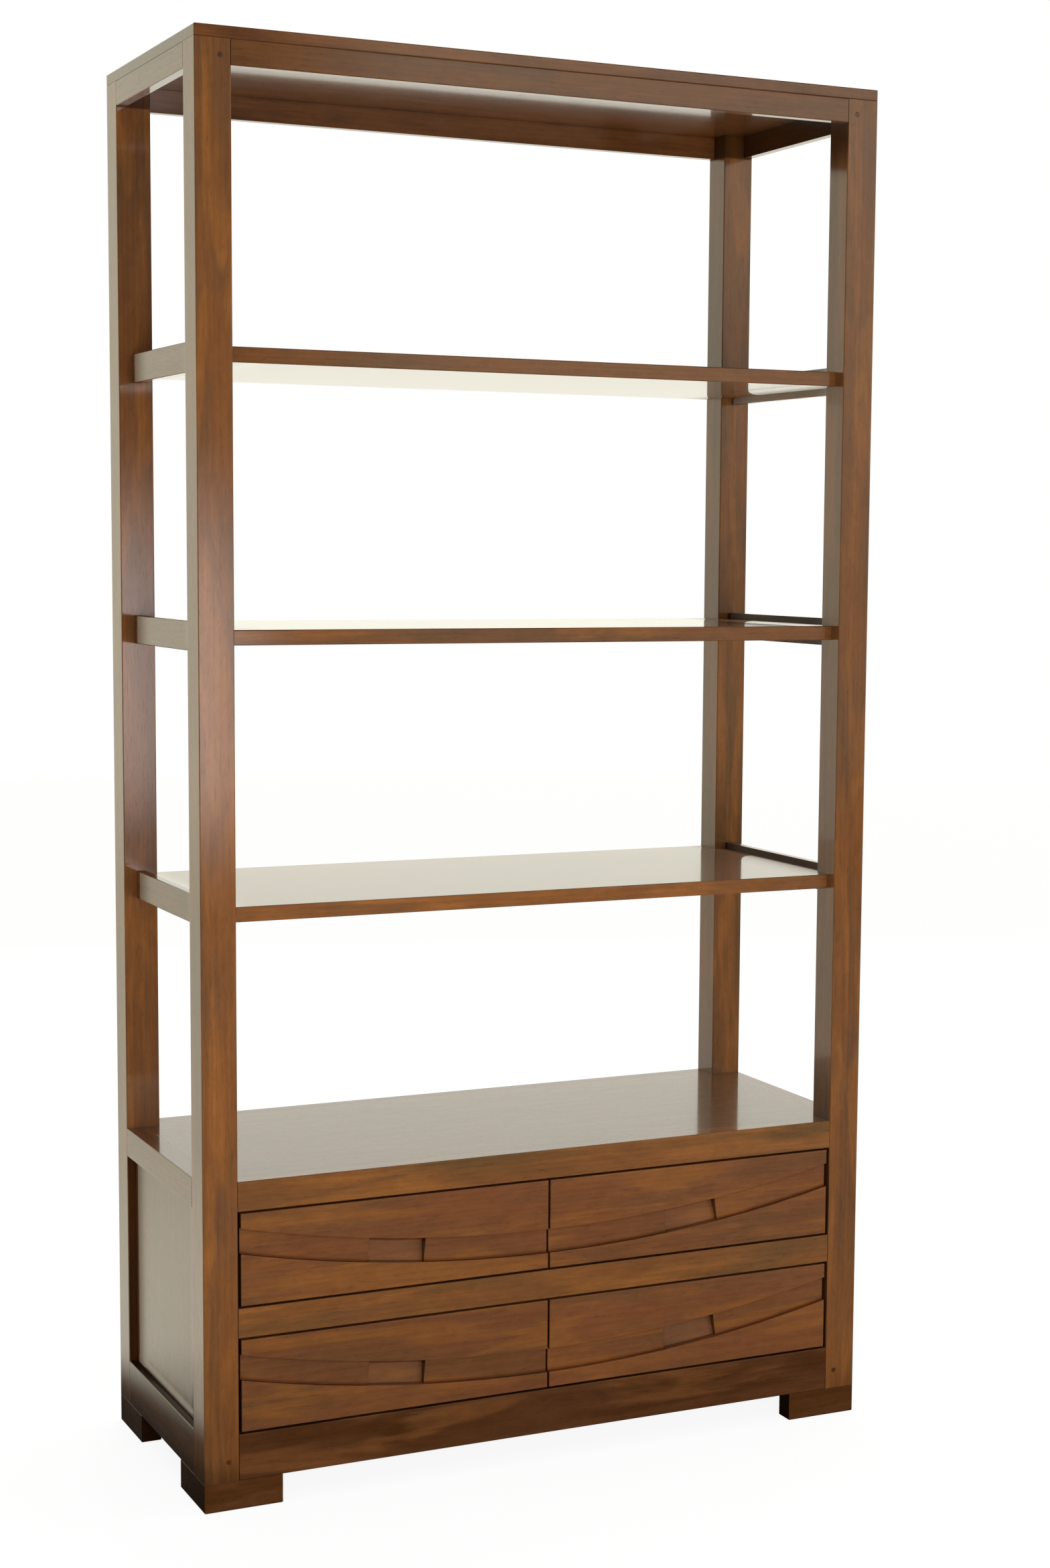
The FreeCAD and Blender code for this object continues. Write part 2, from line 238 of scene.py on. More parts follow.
# Staves
STAVE_START = 40.37  # staves counted from here, so that none has a number below 0
STAVE_SLIDE = (2.0, 0.9, 0.9)  # metres
GLUE_LINE = 0.0006  # metres, on each side of a joint
STAVE_SHADE = (0.0, 1.0, 0.88, 1.10)
JOINT_DARK = 0.35


def cut_from_tree(seed):
    """A place in the tree: along each axis the seed times a step, wrapped round the tree's size."""
    return tuple(seed * step % size for step, size in zip(SEED_STEP, TREE_SIZE))


def grain_place(t, grain, seed):
    """The place on the piece with the grain's axis first: moved to its cut in the tree, and unmoved."""
    place = object_place(t)
    turned = t.put_all(t.add("ShaderNodeCombineXYZ"), [place[axis] for axis in AXES[grain]])
    return t.vector("ADD", turned, cut_from_tree(seed)), turned


def staves(t, place, flat, wide):
    """Boards glued edge to edge: the place in each stave, its chance number and the joints' lines.

    A stave's number is the place across the grain over the stave's width, rounded down. It slides
    each stave through the tree by a random length, so that neighbours don't match.
    """
    across = t.plus(t.over(t.parts(flat)[1], wide), STAVE_START)
    number = t.math("FLOOR", across)
    chance = t.add("ShaderNodeTexWhiteNoise", noise_dimensions="1D")
    t.put(chance.inputs["W"], number)
    slide = t.vector("MULTIPLY", chance.outputs["Color"], STAVE_SLIDE)
    from_middle = t.unsigned(t.minus(t.minus(across, number), 0.5))
    line = t.between(from_middle, 0.5 - GLUE_LINE / wide, 0.5)
    return t.vector("ADD", place, slide), chance.outputs["Value"], line


def wandering(t, place):
    """The place moved a little across the grain by slow noise about its middle, 0.5."""
    slow = t.noise(t.vector("MULTIPLY", place, WANDER_RATE))["Color"]
    aside = t.vector("SUBTRACT", slow, (0.5, 0.5, 0.5))
    return t.vector("ADD", place, t.vector("MULTIPLY", aside, WANDER))


def figure(t, place, layer):
    """Noise of a place that is multiplied by one number along the grain and by one across it."""
    along, across, detail, rough, warp = LAYERS[layer]
    return t.noise(t.vector("MULTIPLY", place, (along, across, across)), detail, rough, warp)["Fac"]


def late_wood(t, place, seed, streak):
    """1 on the dark late wood of a growth ring, 0 elsewhere.

    The rings are the distance from a pith line well outside the board over a ring's width, plus
    the streaks; the part after the point says how far through its ring a place is.
    """
    cut = cut_from_tree(seed)
    pith = (0.0, cut[1] - PITH_OFF[0] - seed * PITH_STEP % PITH_RANGE, cut[2] + PITH_OFF[1])
    from_pith = t.vector("MULTIPLY", t.vector("SUBTRACT", place, pith), TRUNK)
    rings = t.times(t.vector("LENGTH", from_pith), 1 / RING_WIDTH)
    ring = t.math("FRACT", t.plus(rings, t.times(streak, RING_WAVER)))
    return t.times(t.between(ring, *LATE_BEGINS), t.between(ring, *LATE_ENDS))


def stain_colour(t, layers, light, mid, dark):
    """Streaks and patches lead from the dark tone to the middle one, warm streaks on to the light."""
    share = t.plus(t.times(layers["streak"], STREAK_SHARE), t.times(layers["patch"], PATCH_SHARE))
    colour = t.mix(t.between(share, *DARK_TO_MID), (*dark, 1), (*mid, 1))
    warm = t.times(t.between(layers["warm"], *MID_TO_LIGHT), LIGHT_SHARE)
    return t.mix(warm, colour, (*light, 1))


def figure_shade(t, layers, late, pore, mottle):
    """The product of the shades of late wood, fibres, soft mottling and pores."""
    shade = t.kept(late, LATE_DARK)
    shade = t.times(shade, t.between(layers["fibre"], *FIBRE_SHADE, smooth=False))
    shade = t.times(shade, t.between(layers["cloud"], *CLOUDS, 1.0 - mottle, 1.0 + mottle))
    return t.times(shade, t.kept(pore, PORE_DARK))


# Places on the case, in metres

FRONT_FACE = float(cad_low[Y])
PANEL_TOP = float(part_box("base_rail_left_top")[LOW][Z])
PANEL_FOOT = float(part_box("base_rail_left_bottom")[HIGH][Z])
POST_INNER = float(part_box("post_back_left")[LOW][Y])  # where a post ends the panels and shelf rails
TOP_FOOT = float(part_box("top_rail_front")[LOW][Z])  # the foot of the top rails
BOARD_TOP = float(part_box("base_top_board")[HIGH][Z])  # the board over the drawers
SHELF_END = -float(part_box("shelf_rail_upper_left")[HIGH][X])  # the inner face of a shelf rail

# The curved recess across the drawer fronts, in metres
BAND_RADIUS = 2.155  # of the arc along its foot
RECESS_TOP = BAND_RADIUS - 0.035  # the radius of the arc along its top
BAND_RISE = 0.0225  # from the foot of a drawer front to the lowest point of the arc
PULL_MIDDLE = 0.23675  # from the middle of the case
PULL_HALF = 0.0435

# Where its finish changes: distances from the front face or a pull's end, in metres
BEHIND_FACE, PULL_FLOOR = (0.0008, 0.0020), (0.0078, 0.0095)
PULL_END = (-0.0020, 0.0)

# Distances from the arc along its foot, and from the one along its top, in metres
FRONT_BELOW, BAND_FOOT, SILL_LINE = (0.0004, 0.0010), (-0.0045, -0.0003), (-0.0012, -0.0004)
RIM = (0.0012, 0.0025)
FRONT_ABOVE, BAND_TOP, UNDER_LIP = (-0.004, -0.001), (0.0, 0.0060), (0.0068, 0.0088)

# How far a sill and a top edge look up, how much painted shade or shadow each place gets or how pale it
# is, and how thin its lacquer
SILL_FACING, TOP_EDGE_FACING = (0.60, 0.85), (0.90, 0.98)
FOOT_SHADE, TOP_SHADOW, LIP_SHADOW, SILL_SHADE = 0.27, 0.09, 0.42, 0.27
SILL_SHADE_IN_PULL, TOP_EDGE_PALE = 0.35, 0.6
PULL_THIN, SILL_THIN = 0.62, 3.6
RIM_SHARES = (0.05, 0.45)


def painted_shade_in_recess(t, centre_high, facing_up):
    """What a drawer front's recess does: painted shade, thickness of the lacquer, share of the dark
    edges.

    The radius is the distance from the arcs' centre, in X and Z. Behind the front face, shade is
    painted into the colour along the foot of the recess, and a painted shadow lies a little under
    its top edge; the painted shade is darkest on the sill, the only face there that looks up. Across
    a finger pull the painted shade on the foot and the sill is paler, and the top of the pull's
    floor, under the lip, carries a darker painted shadow. The front's own top edge is paler. The
    lacquer is thin on the sill and on the floor of the pull. The edges are darkened less than on
    other pieces, and least on the sill's rim.
    """
    x, y, z = object_place(t)
    rise = t.minus(z, centre_high)
    radius = t.math("SQRT", t.plus(t.times(x, x), t.times(rise, rise)))
    behind = t.between(y, *past(FRONT_FACE, BEHIND_FACE))
    pull_floor = t.between(y, *past(FRONT_FACE, PULL_FLOOR))
    from_pull = t.unsigned(t.minus(t.unsigned(x), PULL_MIDDLE))
    beside_pull = t.between(from_pull, *past(PULL_HALF, PULL_END))
    inside = t.between(radius, *past(BAND_RADIUS, FRONT_BELOW), 1.0, 0.0)

    # painted shade along the foot of the recess, and painted shadows under its top edge and under a
    # pull's lip
    foot = t.between(radius, *past(BAND_RADIUS, BAND_FOOT), 0.0, FOOT_SHADE)
    top = t.between(radius, *past(RECESS_TOP, BAND_TOP), TOP_SHADOW, 0.0)
    darkened = t.plus(t.times(foot, beside_pull), top)
    darkened = t.times(t.times(darkened, behind), inside)
    under_lip = t.between(radius, *past(RECESS_TOP, UNDER_LIP), LIP_SHADOW, 0.0)
    darkened = t.larger(darkened, t.times(under_lip, pull_floor))

    # painted shade on the sill, paler across a pull
    sill = t.times(t.between(facing_up, *SILL_FACING, 0.0, SILL_SHADE), inside)
    sill = t.times(sill, t.between(radius, *past(BAND_RADIUS, SILL_LINE)))
    sill = t.times(sill, t.between(beside_pull, 0.0, 1.0, SILL_SHADE_IN_PULL, 1.0))

    above = t.between(radius, *past(RECESS_TOP, FRONT_ABOVE), 1.0, 0.0)
    top_edge = t.times(t.between(facing_up, *TOP_EDGE_FACING), above)
    shade = t.plus(t.minus(1.0, t.larger(darkened, sill)), t.times(top_edge, TOP_EDGE_PALE))
    thin = t.larger(t.times(pull_floor, PULL_THIN), t.times(sill, SILL_THIN))
    rim = t.between(t.unsigned(t.minus(radius, BAND_RADIUS)), *RIM, *RIM_SHARES)
    return shade, t.minus(1.0, t.math("MINIMUM", thin, 1.0)), rim


# Faces that are shut in

LEDGE_FACING = (0.85, 0.95)
INWARD = (-0.10, -0.02)  # metres, where a minus sign means towards the middle of the case

# Where they fade out: heights from the panels' top, the top rails' foot and the board, in metres
OVER_PANEL = (0.0, 0.002)
UNDER_TOP, FAR_UNDER_TOP = (-0.004, 0.0), (-0.085, -0.020)
OVER_BOARD, OVER_BOARD_SHARE = (0.02, 0.12), 0.62


def shut_in(t, facing, where):
    """1 on faces that little light and no wiping cloth reaches, 0 elsewhere; on them shade is painted
    into the colour.

    "above" is a ledge, which looks up. The others look towards the middle of the case: the face's
    direction and the place from the middle, both in plan, point against each other. "ends" keeps
    those beside the panels and beside the top rails, and leaves those in the open bays. "far ends"
    does the same, and fades out under the top rails and over the board on the drawers.
    """
    if where == "above":
        return t.between(facing[Z], *LEDGE_FACING)
    x, y, z = object_place(t)
    away = t.plus(t.times(facing[X], x), t.times(facing[Y], y))
    inward = t.between(away, *INWARD, 1.0, 0.0)
    if where == "inside":
        return inward
    low = t.between(z, *past(PANEL_TOP, OVER_PANEL), 1.0, 0.0)
    high = t.between(z, *past(TOP_FOOT, FAR_UNDER_TOP if where == "far ends" else UNDER_TOP))
    if where == "far ends":
        low = t.larger(low, t.between(z, *past(BOARD_TOP, OVER_BOARD), OVER_BOARD_SHARE, 0.0))
    return t.times(inward, t.larger(low, high))


# Lacquer that has run into the corners

POOL_SLOPE = 0.15  # its height at a corner, over its reach
FOOT_REACH, FOOT_HIGH = 0.015, 0.0031  # metres, along the foot of a panel
FLAT_FACING = (0.50, 0.90)


def pooled(t, facing_up, sunk):
    """Height of the lacquer that has run into the corners at a sunk face's ends and foot, in metres.

    Along the axis of its length it grows with the cube of the nearness to the piece that stands
    proud there, within reach. On an upright face it also grows with the square of the nearness to
    the bottom rail; along X it lies on the faces that look up or down.
    """
    axis, corner, reach = sunk
    place = object_place(t)
    near = t.over(t.minus(t.unsigned(place[axis]), corner - reach), reach)
    ends = t.times(t.power(t.larger(near, 0.0), 3.0), POOL_SLOPE * reach)
    if axis == X:
        return t.times(ends, t.between(t.unsigned(facing_up), *FLAT_FACING))
    near = t.over(t.minus(PANEL_FOOT + FOOT_REACH, place[Z]), FOOT_REACH)
    return t.plus(ends, t.times(t.power(t.larger(near, 0.0), 2.0), FOOT_HIGH))


# Finish of the wood: ranges, with the shades or shares at their ends; lengths in metres

END_GRAIN = (0.75, 0.95)
# Painted shade in inside corners: how far it looks for the next face, and its range with the shades at
# its ends
CORNER_REACH, CORNER_PAINTED_SHADE = 0.010, (0.35, 0.80, 0.74, 1.0)
PAINTED_SHADE_TINT = (1.0, 0.72, 0.40, 1.0)  # what the painted shade in a recess does to the colour under it: warms it
PAINTED_SHADE_WARMTH = 3.3
# painted shade and duller lacquer on shut-in faces
SHUT_IN_PAINTED_SHADE, SHUT_IN_DULL = 0.68, 0.80
OVER_FEET, KNEE_HIGH = (0.040, 0.082), (0.06, 0.32)
SAMPLES = 4  # of the space round a corner or an edge
EDGE_RADIUS = 0.0010
ROUNDED = (0.999, 0.93)  # cosine of the angle between the rounded and the flat face
EDGE_SHARE, EDGE_DARK = 0.38, 0.35
# worn paler edges, which also stand in for a painted highlight along them
WORN_AND_HIGHLIT, WORN_AND_HIGHLIT_SHARE, WORN_AND_HIGHLIT_PALE = (0.56, 0.70), 0.35, 1.5
FIBRE_HIGH = 0.22
WOOD_BUMP, FILM_BUMP, POOL_BUMP = (0.35, 0.00012), (0.25, 0.00010), (1.0, 1.0)
FILM_WAVES, FILM_DENT = (14.0, 40.0, 40.0), 0.35
FIBRE_ROUGH, ROUGH_SPAN, PORE_ROUGH = (0.2, 0.8), 0.14, 0.2
GLOSSY_FROM = 0.5  # the gloss from which a coat hides the wood's own shine
BARE_SHINE, COVERED_SHINE = 0.5, 0.05
COAT_ROUGH, COAT_IOR = 0.09, 1.52


def end_grain_shade(t, facing_along, ends):
    """ends on faces that look along the grain, 1 on the others."""
    share = t.between(t.unsigned(facing_along), *END_GRAIN)
    return t.between(share, 0.0, 1.0, 1.0, ends, smooth=False)


def painted_corner_shade(t):
    """Painted shade in inside corners: darker where another face lies within reach."""
    corner = t.add("ShaderNodeAmbientOcclusion", samples=SAMPLES)
    corner.inputs["Distance"].default_value = CORNER_REACH
    return t.between(corner.outputs["AO"], *CORNER_PAINTED_SHADE)


def edge_colour(t, colour, rounded, rim, edge_wear_and_highlight, light, dark):
    """Rounded edges are darkened, and here and there they are worn pale, which also stands in for a
    painted highlight along them.
    """
    darkened = t.times(rounded, t.times(rim, EDGE_SHARE))
    colour = t.mix(darkened, colour, (*[c * EDGE_DARK for c in dark], 1))
    # pale worn spots on the edges, also a painted highlight
    worn_and_highlit = t.times(rounded, t.between(edge_wear_and_highlight, *WORN_AND_HIGHLIT))
    pale = [min(1.0, c * WORN_AND_HIGHLIT_PALE) for c in light]
    return t.mix(t.times(worn_and_highlit, WORN_AND_HIGHLIT_SHARE), colour, (*pale, 1))


def lacquered(t, colour, rough, normal, gloss, film, film_normal):
    """The wood under its coat. Under a glossy coat the wood itself hardly shines."""
    shine = BARE_SHINE if gloss < GLOSSY_FROM else COVERED_SHINE
    wood = t.add("ShaderNodeBsdfPrincipled")
    t.put(wood.inputs["Base Color"], colour)
    t.put(wood.inputs["Roughness"], rough)
    t.put(wood.inputs["Normal"], normal)
    wood.inputs["Specular IOR Level"].default_value = shine
    t.put(wood.inputs["Coat Weight"], film)
    wood.inputs["Coat Roughness"].default_value = COAT_ROUGH
    wood.inputs["Coat IOR"].default_value = COAT_IOR
    t.put(wood.inputs["Coat Normal"], film_normal)
    return wood.outputs[0]


def stained_wood(name, grain, seed, stain, tone=1.0, stave=0.0, gloss=1.0, matt=0.30, ends=0.6,
                 mottle=0.06, recess=None, low=None, hidden=None, sunk=None):
    """Stained hardwood under a clear lacquer.

    The stain is a light, a middle and a dark tone, mixed by the wood's figure and then times a
    shade: the product of the figure's own shades, the end grain's, the painted shade of the inside
    corners and the whole piece's tone. Rounded edges come last, darkened and worn pale, the pale also
    standing in for a painted highlight. Roughness and bump follow fibres and pores.

    stave is the width of the boards that a top is glued from. recess is the height of the centre
    of a drawer front's arcs, and brings the recess's painted shade. low holds two shades for the
    floor's end of a piece, just over the feet and up to knee height. hidden names the faces that
    shut_in finds, which get painted shade and duller lacquer. sunk is an axis, the place where a
    face ends along it and how far lacquer has run there.
    """
    light, mid, dark = stain
    material = bpy.data.materials.new(name)
    material.use_nodes = True
    t = Tree(material.node_tree)
    place, flat = grain_place(t, grain, seed)
    if stave:
        place, chance, joint = staves(t, place, flat, stave)
    grown = wandering(t, place)
    layers = {layer: figure(t, grown, layer) for layer in LAYERS}
    pore = t.between(layers["pore"], *PORES)
    late = late_wood(t, grown, seed, layers["streak"])
    colour = stain_colour(t, layers, light, mid, dark)
    shade = figure_shade(t, layers, late, pore, mottle)
    if stave:
        shade = t.times(shade, t.between(chance, *STAVE_SHADE, smooth=False))
        shade = t.times(shade, t.kept(joint, JOINT_DARK))

    normal = t.add("ShaderNodeNewGeometry").outputs["Normal"]
    facing = t.parts(normal)
    shade = t.times(shade, end_grain_shade(t, facing[AXES[grain][0]], ends))
    # painted shade in inside corners
    shade = t.times(shade, painted_corner_shade(t))
    film = gloss
    rim = 1.0
    if recess:
        # the recess's painted shade and shadows, warmed in tint
        recess_painted_shade, thickness, rim = painted_shade_in_recess(t, recess, facing[Z])
        shade = t.times(shade, recess_painted_shade)
        film = t.times(thickness, gloss)
        painted_shade_share = t.times(t.minus(1.0, recess_painted_shade), PAINTED_SHADE_WARMTH)
        colour = t.mix(painted_shade_share, colour, PAINTED_SHADE_TINT, "MULTIPLY")
    if hidden:
        shut = shut_in(t, facing, hidden)
        # painted shade on shut-in faces
        shade = t.times(shade, t.kept(shut, SHUT_IN_PAINTED_SHADE))
        film = t.times(gloss, t.kept(shut, SHUT_IN_DULL))
    if low:
        height = object_place(t)[Z]
        shade = t.times(shade, t.between(height, *OVER_FEET, low[0], 1.0))
        shade = t.times(shade, t.between(height, *KNEE_HIGH, low[1], 1.0))
    colour = t.mix(1.0, colour, t.grey(t.times(shade, tone)), "MULTIPLY")

    bevel = t.add("ShaderNodeBevel", samples=SAMPLES)
    bevel.inputs["Radius"].default_value = EDGE_RADIUS
    soft = bevel.outputs[0]
    rounded = t.between(t.vector("DOT_PRODUCT", soft, normal), *ROUNDED)
    colour = edge_colour(t, colour, rounded, rim, layers["edge_wear_and_highlight"], light, dark)

    relief = t.minus(t.times(layers["fibre"], FIBRE_HIGH), pore)
    if stave:
        relief = t.minus(relief, joint)
    waves = t.noise(t.vector("MULTIPLY", place, FILM_WAVES))["Fac"]
    film_high = t.minus(waves, t.times(pore, FILM_DENT))
    under_film = t.bump(pooled(t, facing[Z], sunk), soft, *POOL_BUMP) if sunk else soft
    rough = t.between(layers["fibre"], *FIBRE_ROUGH, matt, matt + ROUGH_SPAN)
    rough = t.plus(rough, t.times(pore, PORE_ROUGH))
    wood_normal = t.bump(relief, soft, *WOOD_BUMP)
    film_normal = t.bump(film_high, under_film, *FILM_BUMP)
    t.finish(lacquered(t, colour, rough, wood_normal, gloss, film, film_normal))
    return material


# Stain tones, as linear colours

ORANGE = (0.300, 0.112, 0.027)
BROWN = (0.222, 0.083, 0.024)
UMBER = (0.158, 0.070, 0.028)
OLIVE = (0.150, 0.072, 0.024)
CHESTNUT = (0.226, 0.080, 0.028)
TAUPE = (0.176, 0.074, 0.028)
DEEP = (0.130, 0.048, 0.017)
DARK = (0.086, 0.030, 0.007)

# Stains: the light, the middle and the dark tone of each
WARM = (ORANGE, BROWN, UMBER)
WARM_OLIVE = (ORANGE, BROWN, OLIVE)
EVEN = (BROWN, BROWN, UMBER)
EVEN_OLIVE = (BROWN, BROWN, OLIVE)
EVEN_DEEP = (BROWN, BROWN, DEEP)
LOW_SIDE_RAIL = (BROWN, UMBER, DEEP)
LOW_FRONT_RAIL = (BROWN, DEEP, DARK)
DRAWER_FRONT = (ORANGE, CHESTNUT, TAUPE)
PEG = (DEEP, DEEP, DARK)
FOOT = (DEEP, DARK, DARK)

SIDES = ("left", "right")
STAVE, TOP_STAVE = 0.086, 0.092  # metres
PANEL_POOL, RAIL_POOL = 0.058, 0.085  # reach of the lacquer that has run, in metres
NEXT_SEED = 1.618
SIDE_SEED, BACK_SEED = 0.7, 1.1  # from a drawer front's seed to those of its box

# Seed and tone of each drawer front
DRAWERS = {
    "upper_left": (20.0, 0.89),
    "upper_right": (25.3, 0.88),
    "lower_left": (27.4, 0.84),
    "lower_right": (31.1, 0.91),
}


def dress(names, grain, seed, stain, **looks):
    """Gives each named piece a wood of its own: the same finish, cut from another place in the tree."""
    for number, name in enumerate(names):
        wood = stained_wood("wood_" + name, grain, seed + NEXT_SEED * number, stain, **looks)
        piece = nodes[name]
        if not piece.material_slots:
            piece.data.materials.append(wood)
        for place in piece.material_slots:
            place.material = wood


def both_sides(*names):
    """Each name twice, with left and then right in the place of its star."""
    return [name.replace("*", side) for name in names for side in SIDES]


def dress_posts():
    dress(["post_front_left"], "z", 2.0, WARM, tone=1.05, low=(0.60, 0.80), hidden="ends")
    dress(["post_front_right"], "z", 5.5, WARM, tone=0.91, low=(0.80, 1.12), hidden="far ends")
    dress(["post_back_left"], "z", 9.1, WARM, tone=1.13, low=(0.60, 0.84), hidden="ends")
    dress(["post_back_right"], "z", 10.7, WARM_OLIVE, tone=1.02, low=(0.75, 0.94), hidden="ends")


def dress_rails():
    dress(["top_rail_front"], "x", 3.3, EVEN, tone=0.80)
    dress(["base_rail_front_top", "base_rail_front_middle"], "x", 4.9, WARM_OLIVE)
    dress(["base_rail_front_bottom"], "x", 2.6, LOW_FRONT_RAIL, tone=0.85)
    dress(["top_rail_back", "base_rail_back_top", "base_rail_back_bottom"], "x", 7.9, EVEN_DEEP,
          tone=0.84)
    dress(both_sides("top_rail_*", "base_rail_*_top"), "y", 4.6, EVEN_DEEP, hidden="inside")
    dress(both_sides("base_rail_*_bottom"), "y", 9.5, LOW_SIDE_RAIL,
          tone=0.95, low=(0.70, 0.84), hidden="above")
    pool = (Y, POST_INNER, RAIL_POOL)
    dress(both_sides("shelf_rail_lower_*", "shelf_rail_middle_*"), "y", 6.2, EVEN_DEEP,
          sunk=pool, hidden="inside")
    dress(both_sides("shelf_rail_upper_*"), "y", 12.7, EVEN_DEEP, sunk=pool)


def dress_boards():
    dress(["shelf_board_lower"], "x", 8.8, WARM, stave=STAVE, tone=1.30, sunk=(X, SHELF_END, 0.055))
    dress(["shelf_board_middle"], "x", 10.4, WARM, stave=STAVE, sunk=(X, SHELF_END, 0.100))
    dress(["shelf_board_upper"], "x", 12.0, EVEN_OLIVE,
          stave=STAVE, tone=1.02, sunk=(X, SHELF_END, 0.090))
    dress(["top_board"], "x", 1.4, EVEN_DEEP, stave=TOP_STAVE)
    dress(["base_top_board"], "x", 11.7, EVEN, stave=STAVE)


def dress_base():
    dress(both_sides("side_panel_*"), "z", 12.9, EVEN, mottle=0.02, sunk=(Y, POST_INNER, PANEL_POOL))
    dress(both_sides("foot_front_*", "foot_back_*"), "x", 14.4, FOOT,
          tone=1.12, ends=0.62, hidden="ends")
    dress(["joint_pegs"], "y", 15.8, PEG, tone=0.95, ends=0.85, mottle=0.0)
    dress(["back_panel"], "z", 16.1, EVEN, gloss=0.3, matt=0.45)
    dress(["centre_partition", "drawer_kickers", "drawer_runners_upper", "drawer_runners_lower"],
          "y", 17.5, WARM, gloss=0.0, matt=0.6)


def dress_drawers():
    """Glossy fronts with a recess, whose arcs have their centre a radius above their lowest point."""
    for drawer, (seed, tone) in DRAWERS.items():
        name = "drawer_" + drawer + "_"
        foot = float(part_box(name + "front")[LOW][Z])
        dress([name + "front"], "x", seed, DRAWER_FRONT,
              tone=tone, ends=0.55, recess=foot + BAND_RISE + BAND_RADIUS)
        dress([name + "side_outer", name + "side_inner"], "y", seed + SIDE_SEED, WARM,
              gloss=0.35, matt=0.4)
        dress([name + "back", name + "bottom"], "x", seed + BACK_SEED, WARM, gloss=0.35, matt=0.4)


# Studio. A range in metres with two more numbers gives the brightness at its ends.

AMBIENT = 0.60
MIRRORED_AIR = 0.04  # what the open air gives in the lacquer
WHITE = (1.0, 1.0, 1.0, 1.0)
PAPER = (1.0, 0.966, 0.83, 1.0)
WARM_PAPER = (1.0, 0.955, 0.74, 1.0)
PALE_PAPER = (1.0, 0.985, 0.86, 1.0)
BLUSH = (1.0, 0.925, 0.90, 1.0)  # the soft box's tint

FLOOR_RADIUS, FLOOR_HIGH = 40.0, -0.0004  # a hair under the feet
FLOOR_RINGS, FLOOR_SPOKES = 24, 97
# In the lacquer: a painted shadow of the case on the floor beside and round it, and dimmer paper in
# front and behind
BESIDE_START, BESIDE_SLANT = 0.15, 0.10  # towards the back the dark edge beside the case slants in
BESIDE_CASE, ROUND_CASE = (0.065, 0.135, 0.04, 0.76), (0.10, 0.42, 0.0, 0.36)
BEFORE_CASE = (-0.40, 0.20, 0.08, 1.0)
BEHIND_CASE, FAR_BEHIND = (0.9, 2.0, 1.0, 0.84), (5.0, 10.0, 1.0, 1.20)
PAINTED_SHADE_NEAR_CASE, FLOOR_PALE = (0.0, 0.9, 0.20, 0.80), 0.80
FLOOR_LIT, FLOOR_GLOW = 0.78, 1.16  # in the camera: share of glowing paper, and how bright it is
FLOOR_TINT = (-1.5, 0.3)

WALL_RADIUS, WALL_HEIGHTS = 11.0, (-0.01, 9.0)
WALL_TURN = (math.radians(-12), math.radians(192))
WALL_GRID = (65, 10)
WALL_MIRRORED = 1.15
WALL_AMBIENT = (-9.0, 4.0, 0.12 * AMBIENT, AMBIENT)
WALL_TINT = (-4.0, 3.0)

SCREEN_X, SCREEN_Y, SCREEN_Z = (-1.0, 9.0), -5.2, (0.0, 6.0)
SCREEN_GRID = (11, 7)
BOX_LEFT, BOX_RIGHT = (0.10, 0.60), (0.90, 1.42, 1.0, 0.0)
BOX_FOOT, BOX_TOP, BOX_BRIGHT = (0.12, 0.60), (1.05, 1.75, 1.0, 0.0), 5.3
FIELD_LOW, FIELD_RISE = (0.05, 0.80, 0.0, 0.60), (1.10, 3.00, 0.0, 1.20)
FIELD_LEFT, FIELD_RIGHT = (1.15, 1.85), (6.0, 9.0, 1.0, 0.0)
FIELD_TOP, FIELD_BRIGHT = (4.0, 6.0, 1.0, 0.0), 0.76

# Lamps: place, width and height, brightness, and the place that each one is turned to
LAMPS = {
    "key": ((-0.6, -2.9, 0.7), (1.6, 1.2), 6.1, (0.0, 0.0, 0.55)),
    "low_right": ((1.3, -1.6, 0.3), (0.6, 0.5), 3.2, (0.4, -0.2, 0.2)),
    "above": ((0.3, 0.4, 4.6), (2.0, 1.6), 2.6, (0.0, 0.0, 2.0)),
    "back_fill": ((1.2, 4.2, 1.8), (2.2, 2.2), 3.2, (0.0, 0.0, 0.95)),
}


def surface(name, grid):
    """A mesh from a grid of points, rows by columns, as whole arrays."""
    rows, columns = grid.shape[:2]
    index = np.arange(rows * columns).reshape(rows, columns)
    corners = (index[:-1, :-1], index[:-1, 1:], index[1:, 1:], index[1:, :-1])
    faces = np.stack([c.ravel() for c in corners], axis=1)
    mesh = bpy.data.meshes.new(name)
    mesh.from_pydata(grid.reshape(-1, 3).tolist(), [], faces.tolist())
    mesh.update()
    piece = bpy.data.objects.new(name, mesh)
    bpy.context.scene.collection.objects.link(piece)
    return piece


def studio_piece(name, x, y, z):
    """A stage surface with an empty material: the piece and its node tree.

    x, y and z are each a number or an array: down the rows, along the columns or over both.
    """
    piece = surface(name, np.stack(np.broadcast_arrays(x, y, z), axis=2))
    material = bpy.data.materials.new(name + "_paper")
    material.use_nodes = True
    piece.data.materials.append(material)
    return piece, Tree(material.node_tree)


def rays(t):
    return t.add("ShaderNodeLightPath").outputs


def glow(t, strength, colour=WHITE):
    shader = t.add("ShaderNodeEmission")
    t.put(shader.inputs["Color"], colour)
    t.put(shader.inputs["Strength"], strength)
    return shader.outputs[0]


def blend(t, share, a, b):
    return t.put_all(t.add("ShaderNodeMixShader"), (share, a, b))


def paper(t, left, right):
    """The tint of paper in the lacquer: a smooth step along X, from warm at the left to pale."""
    return t.mix(t.between(object_place(t)[X], left, right), WARM_PAPER, PALE_PAPER)


